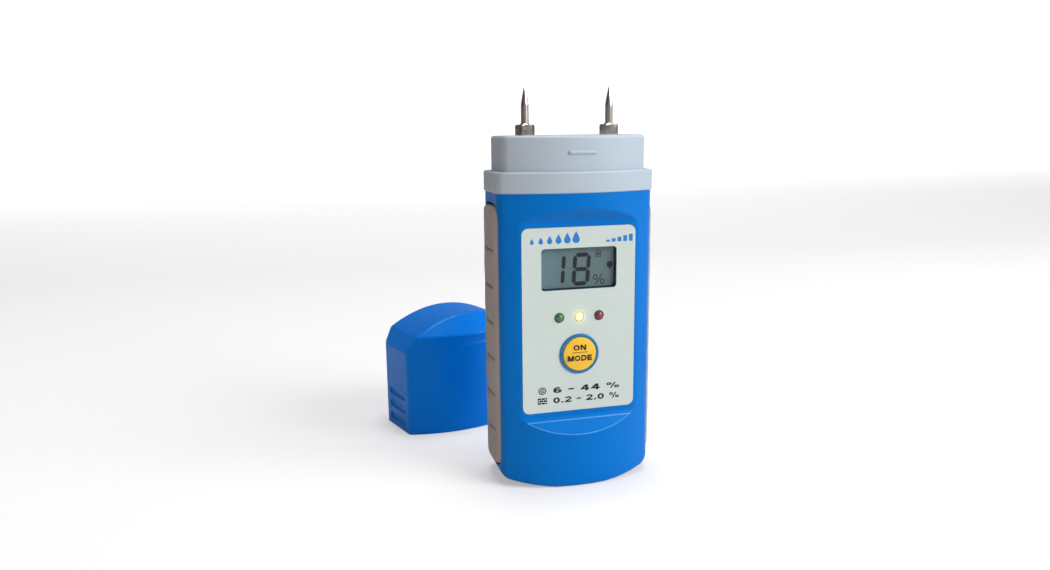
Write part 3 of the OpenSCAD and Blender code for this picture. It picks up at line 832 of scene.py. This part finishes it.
def cap_form(hw, apex, crown, rim, top, blend, side_r, top_r, outer):
    """Bulged block under an arched top, with sloped shoulders and facets that lead up to it.

    The outer form also has a rounded foot and a shallow moulded band under its rim.
    """
    inner = hw - CAP_SHOULDER
    arch_r = (inner * inner + (top - rim) ** 2) / (2 * (top - rim))
    bulge_r = (hw * hw + crown * crown) / (2 * crown)
    lean = CAP_FACET / (CAP_H - CAP_RIM)

    def arch(x):
        shoulder = rim - 0.3 - (abs(x) - inner) * CAP_DROP / CAP_SHOULDER
        return smin(top - arch_r + math.sqrt(arch_r ** 2 - x * x), shoulder, 0.3)

    def foot(z):
        return round_in(z, 0.25) if outer else 0.0

    def half_width(z):
        return hw - round_in(top - z, 0.8) - foot(z)

    def lift(x, z):
        return z if z < 20 else 20 + (z - 20) * (arch(x) - 20) / (top - 20)

    def depth(x, z):
        r = bulge_r - (z - rim) * lean
        facet = apex - bulge_r + math.sqrt(r * r - x * x)
        band = 0.0
        if outer:
            band = 0.35 * math.exp(-((z - rim + 2.6) / 0.8) ** 2) * max(0.0, 1 - (x / 16.0) ** 2)
        return smin(lens(x, hw, apex, crown) - band, facet, blend)

    def turn(x, z):
        side = round_in(max(hw - abs(x), 0), side_r)
        return side + round_in(max(arch(x) - z, 0), top_r) + foot(z)

    e = [1 - d / hw for d in edge_steps(side_r, 9)]
    us = merge(e, [-c for c in e], steps(-1, 1, 90 if outer else 40))
    low = edge_steps(0.25, 4) if outer else [-2.0, 0.0]
    zs = merge(low, steps(low[-1] + 0.4, rim - 4, 24), steps(rim - 4, top - 1.2, 34),
               [top - d for d in edge_steps(1.2, 12)])
    return pillow(us, zs, half_width, depth, depth, turn, turn, walls=10, lift=lift)


def make_cap():
    """Hollow cap with three finger grooves in each side, turned on the floor beside the meter."""
    hw = COLLAR_HW
    skin = cap_form(hw, CAP_APEX, CAP_CROWN, CAP_RIM, CAP_H, 0.3, 0.9, 0.5, True)
    # cap material: the body's blue made brighter, painted light
    obj = to_object(skin, "cap_shell", MAT["cap_plastic"], 28)
    hollow = cap_form(hw - CAP_WALL, CAP_APEX - 1.4, CAP_CROWN - 0.9, CAP_RIM - 1.2, CAP_H - CAP_WALL,
                      0.2, 0.8, 0.4, False)
    cut(obj, [hollow])
    along_y = Matrix.Rotation(math.radians(90), 4, "X")
    for s in (-1, 1):
        for i in range(3):
            groove = domed_bar(5.3, 1.6, 32)
            spot = Vector((s * (hw + 0.85), 0, CAP_GROOVES[0] + CAP_GROOVES[1] * i))
            matrix = Matrix.Translation(spot * MM) @ along_y
            bmesh.ops.transform(groove, matrix=matrix, verts=groove.verts)
            cut(obj, [groove])
    place(obj, (CAP_MID[0], CAP_MID[1], 0), Matrix.Rotation(CAP_YAW, 4, "Z"))
    finish_piece(obj, "cap", "cap_plastic", "protective_cap")


# ------------------------ key, lamps, pins, battery cover

def make_key():
    """Round key with a slightly domed face, and the fixed ring round it."""
    crown_r = 24
    dome = [(r, -KEY_LO[1] - (1 - math.sqrt(1 - (r / crown_r) ** 2)) * crown_r * 0.6)
            for r in steps(0, 4.55, 10)]
    edge = arc_pts(4.6, dome[-1][1] - 0.4, 0.4, 80, 0, 5)
    prof = dome + edge + [(5.0, 8.72), (5.9, 8.7), (5.9, 8.0), (1.6, 8.0), (1.6, 7.5), (0, 7.5)]
    obj = to_object(revolve(prof, 96), "key_button", MAT["key_plastic"])
    place(obj, (0, 0, KEY_Z), FACE_OUT)
    finish_piece(obj, "key", "key_plastic", "mode_key")

    ring_top = LABEL_FACE + 0.45
    prof = [(5.08, 9.0), (5.08, ring_top - 0.15)] + arc_pts(5.23, ring_top - 0.15, 0.15, 180, 90, 3)[1:]
    prof += arc_pts(RING_R - 0.25, ring_top - 0.25, 0.25, 90, 0, 5) + [(RING_R, 9.0)]
    bm = revolve(prof, 96)
    absorb(bm, revolve([prof[0], prof[-1]], 96))
    bmesh.ops.remove_doubles(bm, verts=bm.verts, dist=1e-7)
    obj = to_object(bm, "key_ring", RING_BLUE)
    place(obj, (0, 0, KEY_Z), FACE_OUT)
    finish_piece(obj, "meter", "body_plastic")


def make_lamp(i, colour):
    """Lamp with a domed lens, a flange and two legs."""
    dome = [(LED_R * math.sin(a), 10.6 + LED_R * math.cos(a)) for a in steps(0.1, math.pi / 2, 10)]
    flange = [(LED_R, 9.1), (1.9, 9.05), (1.9, 8.1), (0, 8.1)]
    bm = revolve([(0, 12.0)] + dome + flange, 48)
    for s in (-1, 1):
        leg = revolve([(0, 2.2), (0.25, 2.2), (0.25, 8.1), (0, 8.1)], 12)
        bmesh.ops.translate(leg, vec=Vector((s * 1.27, 0, 0)) * MM, verts=leg.verts)
        absorb(bm, leg)
    obj = to_object(bm, f"lamp_{colour}_lens", MAT[f"lamp_{colour}"])
    place(obj, (i * LED_PITCH, 0, LED_Z), FACE_OUT)
    finish_piece(obj, "meter", f"lamp_{colour}", f"led_{colour}")


def make_pin(side):
    """Steel pin with a long point, and the hexagon nut that it stands in."""
    name = "right" if side > 0 else "left"
    nut_z = HEAD_TOP + NUT_H
    cone = 5.8
    prof = [(0, 94), (1.5, 94), (1.5, nut_z + 0.05), (PIN_R + 0.1, nut_z + 0.35)]
    prof += [(PIN_R, nut_z + 0.4), (PIN_R, TIP_Z - cone - 0.25)]
    prof += [(PIN_R * (1 - t ** 1.18), TIP_Z - cone + cone * t) for t in steps(0.0, 0.98, 12)]
    prof += [(0, TIP_Z)]
    obj = to_object(revolve(prof, 48), f"pin_{name}_steel", MAT["pin_steel"], 60)
    place(obj, (side * PIN_X, 0, 0))
    finish_piece(obj, "meter", "pin_steel", f"electrode_pin_{name}")

    hexagon = arc_pts(0, 0, 2.9, 0, 300, 5)
    bm = loft([(x, y, HEAD_TOP) for x, y in hexagon], [(x, y, nut_z) for x, y in hexagon])
    obj = to_object(bm, f"nut_{name}_hex", MAT["nut_metal"])
    under, over = HEAD_TOP - 1, nut_z + 0.1
    chamfer = [(0, under), (4.2, under), (4.2, HEAD_TOP + 1.6), (2.45, nut_z + 0.02), (0, nut_z + 0.02)]
    cut(obj, [revolve(chamfer, 96)], "INTERSECT")
    cut(obj, [revolve([(0, under), (1.52, under), (1.52, nut_z - 0.3), (1.85, over), (0, over)], 48)])
    mod = obj.modifiers.new("edges", "BEVEL")
    mod.width = 0.12 * MM
    mod.segments = 3
    mod.limit_method = "ANGLE"
    mod.angle_limit = math.radians(40)
    place(obj, (side * PIN_X, 0, 0))
    finish_piece(obj, "meter", "nut_metal", f"pin_nut_{name}")


def make_battery_cover():
    """Round cover with a coin slot and a knurled rim."""
    r = (COVER_HI[0] - COVER_LO[0]) / 2 - 0.02
    y0, y1 = COVER_LO[1], COVER_HI[1]
    prof = [(0, y0), (r - 0.2, y0), (r, y0 + 0.2), (r, y1 - 0.35)]
    prof += arc_pts(r - 0.35, y1 - 0.35, 0.35, 0, 90, 5)[1:]
    prof += [(10.2, y1), (9.9, y1 - 0.3), (0, y1 - 0.3)]
    obj = to_object(revolve(prof, 128), "battery_cover_disc", MAT["body_plastic"])
    place(obj, (0, 0, CELL_Z), REAR_OUT)
    tools = [prism(rounded_outline(16, 2.0, 0.99, 6), y0 + 0.5, y1 + 2, 0, CELL_Z)]
    for x, z in arc_pts(0, CELL_Z, r + 0.1, 0, 330, 11):
        tools.append(prism(circle_outline(0.9, 24), y0 + 0.5, y1 + 2, x, z))
    cut(obj, tools)
    finish_piece(obj, "cover", "body_plastic", "battery_cover")


# ------------------------ prints and display

def flat_print(name, outlines, y, mat, body="meter", slot="label_film"):
    """Thin raised print made of closed outlines in X and Z, in mm, at depth y."""
    bm = bmesh.new()
    for pts in outlines:
        absorb(bm, prism(pts, -(y + PRINT_H), -(y - 0.01)))
    obj = to_object(bm, name, mat, 30)
    return finish_piece(obj, body, slot)


def oval(cx, cz, rx, rz, t, a0=0.0, a1=359.0):
    """Outline of a bowl stroke, t thick, on an ellipse between two angles."""
    turns = [math.radians(a) for a in steps(a0, a1, 32)]
    outer = [(cx + rx * math.cos(a), cz + rz * math.sin(a)) for a in turns]
    inner = [(cx + (rx - t) * math.cos(a), cz + (rz - t) * math.sin(a)) for a in reversed(turns)]
    return outer + inner


def slant(x0, z0, x1, z1, t):
    """Sloping stroke with level ends, t wide along X."""
    return [(x0, z0), (x0 + t, z0), (x1 + t, z1), (x1, z1)]


def glyph(char, t):
    """Width and stroke outlines of one plain bold character, one unit tall."""
    h = t / 2
    if char == "O":
        return 1.05, [oval(0.525, 0.5, 0.525, 0.5, t)]
    if char == "N":
        return 0.98, [rect(0, 0, t, 1), rect(0.98 - t, 0, 0.98, 1),
                      slant(0.96 - t * 1.2, 0, 0.02, 1, t * 1.2)]
    if char == "M":
        return 1.15, [rect(0, 0, t, 1), rect(1.15 - t, 0, 1.15, 1),
                      slant(0.575 - h, 0, 0.02, 1, t * 1.15),
                      slant(0.575 - h, 0, 1.13 - t * 1.15, 1, t * 1.15)]
    if char == "D":
        return 1.0, [rect(0, 0, t, 1), rect(0, 0, 0.5, t), rect(0, 1 - t, 0.5, 1),
                     oval(0.48, 0.5, 0.52, 0.5, t, -90, 90)]
    if char == "E":
        return 0.85, [rect(0, 0, t, 1), rect(0, 0, 0.85, t), rect(0, 1 - t, 0.85, 1),
                      rect(0, 0.5 - h, 0.8, 0.5 + h)]
    if char == "0":
        return 0.78, [oval(0.39, 0.5, 0.39, 0.5, t)]
    if char == "2":
        return 0.78, [oval(0.39, 0.69, 0.39, 0.31, t, -38, 175), rect(0, 0, 0.78, t),
                      slant(0, t * 0.8, 0.74 - t * 1.3, 0.56, t * 1.4)]
    if char == "4":
        return 0.82, [rect(0.68 - t, 0, 0.68, 1), rect(0, 0.21, 0.82, 0.21 + t * 0.9),
                      slant(0, 0.21 + t * 0.5, 0.66 - t * 1.1, 1, t * 1.1)]
    if char == "6":
        return 0.78, [oval(0.39, 0.32, 0.39, 0.32, t), oval(0.39, 0.5, 0.39, 0.5, t, 40, 200)]
    if char == "%":
        return 1.2, [oval(0.24, 0.75, 0.24, 0.25, t * 0.7), oval(0.96, 0.25, 0.24, 0.25, t * 0.7),
                     slant(0.32, 0, 0.72, 1, t * 0.7)]
    if char == ".":
        return t * 1.1, [rect(0, 0, t * 1.1, t)]
    if char == "-":
        return 0.5, [rect(0, 0.38, 0.5, 0.38 + t)]
    return 0.3, []


def lettering(name, text, cx, z, width, height, y, body="meter", slot="label_film"):
    """Plain bold characters as thin raised print, centred on cx with their feet at z."""
    shapes = []
    x = 0.0
    for char in text:
        w, outlines = glyph(char, LETTER_STROKE)
        shapes += [[(px + x, pz) for px, pz in pts] for pts in outlines]
        x += w + LETTER_GAP
    scale = width / (x - LETTER_GAP)
    placed = [[(cx - width / 2 + px * scale, z + pz * height) for px, pz in pts] for pts in shapes]
    return flat_print(name, placed, y, INK_BLACK, body, slot)


def bar(x0, z0, x1, z1, w):
    """Outline of a straight stroke with pointed segment ends."""
    dx, dz = x1 - x0, z1 - z0
    k = w / 2 / math.hypot(dx, dz)
    tx, tz = dx * k, dz * k
    return [(x0, z0), (x0 + tx - tz, z0 + tz + tx), (x1 - tx - tz, z1 - tz + tx), (x1, z1),
            (x1 - tx + tz, z1 - tz - tx), (x0 + tx + tz, z0 + tz - tx)]


def seven_segment(lit, x0, z0, w, h, t):
    """Outlines of the lit segments of one leaning digit; (x0, z0) is its lower left."""
    g = 0.1
    i = t / 2

    def pt(x, z):
        return (x0 + x + DIGIT_LEAN * z, z0 + z)

    ends = {
        "a": (pt(i + g, h - i), pt(w - i - g, h - i)), "d": (pt(i + g, i), pt(w - i - g, i)),
        "g": (pt(i + g, h / 2), pt(w - i - g, h / 2)),
        "b": (pt(w - i, h / 2 + g), pt(w - i, h - i - g)), "c": (pt(w - i, i + g), pt(w - i, h / 2 - g)),
        "f": (pt(i, h / 2 + g), pt(i, h - i - g)), "e": (pt(i, i + g), pt(i, h / 2 - g)),
    }
    return [bar(*ends[s][0], *ends[s][1], t) for s in lit]


def rect(x0, z0, x1, z1):
    """Outline of a rectangle from its lower left to its upper right."""
    return [(x0, z0), (x1, z0), (x1, z1), (x0, z1)]


def drop(cx, cz, r):
    """Water drop with its point up."""
    return arc_pts(cx, cz, r, 150, 390, 20) + [(cx, cz + 2.15 * r)]


def hold_mark(cx, cz):
    """Small framed letter, 1.7 by 1.9 mm."""
    bars = ((-0.85, -0.95, -0.65, 0.95), (0.65, -0.95, 0.85, 0.95), (-0.65, -0.95, 0.65, -0.8),
            (-0.65, 0.8, 0.65, 0.95), (-0.4, -0.6, -0.15, 0.6), (0.15, -0.6, 0.4, 0.6),
            (-0.15, -0.12, 0.15, 0.12))
    return [rect(cx + x0, cz + z0, cx + x1, cz + z1) for x0, z0, x1, z1 in bars]


def tree_mark(cx, cz):
    """Small tree: a lobed crown on a short trunk."""
    crown = []
    for a in [math.radians(d) for d in steps(0, 350, 35)]:
        lobed = 0.92 * math.cos(a) * (1 + 0.06 * math.cos(5 * a))
        crown.append((cx + lobed, cz + 0.92 * math.sin(a)))
    trunk = ((-0.22, -0.8), (-0.2, -1.45), (0.2, -1.45), (0.22, -0.8))
    return [crown, [(cx + x, cz + z) for x, z in trunk]]


def make_display():
    """Lit segments and icons of the display, and a black ring round its window that paints the shade of
    the window's recess walls.
    """
    y = LCD_Y
    segs = seven_segment("abcdefg", -1.92, 59.2, 5.35, 9.5, 1.2)
    segs += seven_segment("bc", -6.85, 59.35, 2.75, 9.4, 1.15)
    segs += hold_mark(6.2, 68.2) + tree_mark(9.75, 64.95)
    segs += [oval(5.35, 61.4, 0.7, 0.8, 0.28), oval(7.45, 60.1, 0.7, 0.8, 0.28),
             slant(5.2, 59.3, 7.3, 62.2, 0.32)]
    flat_print("lcd_segments", segs, y, SEGMENT_INK, slot="lcd_glass")

    # painted shade: a black ring just in front of the display film stands in for the shaded walls of the
    # window's recess
    outer = rounded_outline(WIN_W + 1.6, WIN_H + 1.6, 1.2)
    inner = rounded_outline(WIN_W - 0.7, WIN_H - 0.7, 0.8)
    bm = bmesh.new()
    y0 = -(LCD_Y + 0.04) * MM
    y1 = -(LCD_Y + 0.01) * MM
    rows = []
    for pts, yy in ((outer, y0), (inner, y0), (inner, y1), (outer, y1)):
        rows.append([bm.verts.new((x * MM, yy, (z + WIN_Z) * MM)) for x, z in pts])
    n = len(outer)
    for a, b in zip(rows, rows[1:] + rows[:1]):
        for i in range(n):
            bm.faces.new((a[i], a[(i + 1) % n], b[(i + 1) % n], b[i]))
    obj = to_object(bm, "window_recess_shade", RECESS_SHADE_INK)
    finish_piece(obj, "meter", "frame_plastic")


def make_label_prints():
    """Pictograms and number ranges in place of the words on the label."""
    y = LABEL_FACE
    # header: drops of growing size on the left, a stepped level bar on the right
    drops = [drop(-14.0 + 2.6 * i, 72.35 + 0.1 * i, 0.55 + 0.11 * i) for i in range(6)]
    flat_print("label_drops", drops, y, INK_BLUE)
    bars = [rect(8.0 + 1.75 * i, 71.7, 9.15 + 1.75 * i, 72.3 + 0.36 * i) for i in range(5)]
    flat_print("label_level_bars", bars, y, INK_BLUE)

    # wood: end grain rings with a range; masonry: bricks with a range
    z1, z2 = 28.1, 25.0
    wood = [oval(-11.2, z1 + 0.9, 1.2, 1.1, 0.3), oval(-11.2, z1 + 0.9, 0.66, 0.6, 0.24),
            arc_pts(-11.2, z1 + 0.9, 0.2, 0, 342, 19)]
    flat_print("label_wood_icon", wood, y, INK_BLACK)
    bricks = []
    for row in range(3):
        for k in range(-1, 3):
            x0 = -12.6 + k * 1.2 + (0.6 if row % 2 else 0.0)
            a, b = max(x0, -12.6), min(x0 + 1.03, -9.8)
            if b - a > 0.2:
                bricks.append(rect(a, z2 + row * 0.68, b, z2 + row * 0.68 + 0.52))
    flat_print("label_brick_icon", bricks, y, INK_BLACK)
    lettering("label_wood_range", "6 - 44 %", 2.3, z1, 20.4, 1.75, y)
    lettering("label_brick_range", "0.2 - 2.0 %", 2.3, z2, 20.4, 1.75, y)


def make_key_prints():
    """Two words and the line between them, which move with the key."""
    y = -KEY_LO[1] + 0.01
    line = rect(-2.4, KEY_Z + 0.52, 2.35, KEY_Z + 0.68)
    lettering("key_print_on", "ON", -0.1, KEY_Z + 1.25, 3.8, 1.6, y, "key", "key_plastic")
    lettering("key_print_mode", "MODE", -0.1, KEY_Z - 1.9, 7.3, 1.65, y, "key", "key_plastic")
    flat_print("key_print_line", [line], y, INK_BLACK, "key", "key_plastic")


# ------------------------ stage, light, camera

def make_camera():
    """Camera a little above and to the left of the meter, without depth of field or shift."""
    yaw, pitch, roll = 0.2619, 0.1865, -0.0095
    spot = (-75.2, -231.7, 103.66)
    fw = Vector((math.sin(yaw) * math.cos(pitch), math.cos(yaw) * math.cos(pitch), -math.sin(pitch)))
    r = Vector((math.cos(yaw), -math.sin(yaw), 0))
    u = r.cross(fw)
    x = math.cos(roll) * r + math.sin(roll) * u
    y = -math.sin(roll) * r + math.cos(roll) * u
    cam = bpy.data.cameras.new("camera")
    cam.sensor_fit = "HORIZONTAL"
    cam.sensor_width = 36
    cam.lens = 28.387886
    cam.clip_start = 0.01
    obj = bpy.data.objects.new("camera", cam)
    bpy.context.scene.collection.objects.link(obj)
    rot = Matrix((x, y, -fw)).transposed().to_4x4()
    obj.matrix_world = Matrix.Translation(Vector(spot) * MM) @ rot
    bpy.context.scene.camera = obj


def make_stage():
    """Pale floor that sweeps up into a backdrop, whitened towards the back where it is seen."""
    bm = bmesh.new()
    r, back, wide, high = 1.2, 1.6, 6.0, 5.0
    sweep = [(back + r * math.sin(a), r - r * math.cos(a)) for a in steps(0.08, math.pi / 2, 18)]
    prof = [(-3.0, 0.0), (0.0, 0.0), (back, 0.0)] + sweep + [(back + r, high)]
    rows = [[bm.verts.new((x, y, z)) for x in (-wide, wide)] for y, z in prof]
    for a, b in zip(rows, rows[1:]):
        bm.faces.new((a[0], a[1], b[1], b[0]))
    m = Nodes("stage_paper")
    paper = m.ramp(m.noise(3.0, 3.0), [(0.3, (0.61, 0.61, 0.61)), (0.7, (0.63, 0.63, 0.63))])
    m.link(paper, m.bsdf.inputs["Base Color"])
    m.set(Roughness=0.9, Emission_Color=(1, 1, 1, 1))
    split = m.new("ShaderNodeSeparateXYZ")
    m.link(m.coord, split.inputs[0])
    seen = m.new("ShaderNodeMath", operation="MULTIPLY")
    m.link(m.new("ShaderNodeLightPath").outputs["Is Camera Ray"], seen.inputs[0])
    m.link(m.remap(split.outputs["Y"], 0.36, 1.0, 0.4, 1.6), seen.inputs[1])
    m.link(seen.outputs[0], m.bsdf.inputs["Emission Strength"])
    obj = to_object(bm, "stage_floor", m.mat, 60)
    for p in obj.data.polygons:
        if p.normal.z < 0 or (abs(p.normal.z) < 1e-3 and p.normal.y > 0):
            obj.data.flip_normals()
            break


def area(name, loc, size, power, colour=(1, 1, 1)):
    """Soft box aimed at the middle of the meter."""
    light = bpy.data.lights.new(name, "AREA")
    light.shape = "RECTANGLE"
    light.size, light.size_y = size
    light.energy = power
    light.color = colour
    obj = bpy.data.objects.new(name, light)
    bpy.context.scene.collection.objects.link(obj)
    obj.location = loc
    obj.rotation_euler = (Vector((0, 0, 0.06)) - Vector(loc)).to_track_quat("-Z", "Y").to_euler()
    return obj


def make_lights():
    """Key from the right, a top light, a warm fill, and a world dark on the left."""
    area("key_light", (0.80, -0.65, 0.6), (0.8, 0.8), 12.5)
    area("top_light", (0.05, 0.1, 1.3), (0.5, 0.5), 9.0)
    fill = area("fill_light", (-0.65, -0.9, 0.4), (0.8, 0.8), 2.3, (1.0, 0.72, 0.56))
    fill.visible_glossy = False
    world = bpy.data.worlds.new("studio")
    world.use_nodes = True
    tree = world.node_tree
    bg = tree.nodes["Background"]
    coord = tree.nodes.new("ShaderNodeTexCoord")
    split = tree.nodes.new("ShaderNodeSeparateXYZ")
    ramp = tree.nodes.new("ShaderNodeValToRGB")
    remap = tree.nodes.new("ShaderNodeMapRange")
    remap.inputs["From Min"].default_value = -1.0
    ramp.color_ramp.elements[0].color = (0.07, 0.042, 0.028, 1)
    ramp.color_ramp.elements[1].color = (0.30, 0.325, 0.36, 1)
    tree.links.new(coord.outputs["Generated"], split.inputs[0])
    tree.links.new(split.outputs["X"], remap.inputs["Value"])
    tree.links.new(remap.outputs["Result"], ramp.inputs["Fac"])
    tree.links.new(ramp.outputs["Color"], bg.inputs["Color"])
    bg.inputs["Strength"].default_value = 1.0
    bpy.context.scene.world = world
    bpy.context.scene.view_settings.view_transform = "Standard"
    bpy.context.scene.view_settings.look = "None"


# ------------------------ build

make_camera()
make_stage()
make_lights()
dress_cad_nodes()
make_shells()
make_ledge_beads()
make_head()
make_grip(-1)
make_grip(1)
make_cap()
make_key()
for lamp_place, lamp_colour in ((-1, "green"), (0, "yellow"), (1, "red")):
    make_lamp(lamp_place, lamp_colour)
make_pin(-1)
make_pin(1)
make_battery_cover()
make_display()
make_label_prints()
make_key_prints()

bpy.context.view_layer.update()
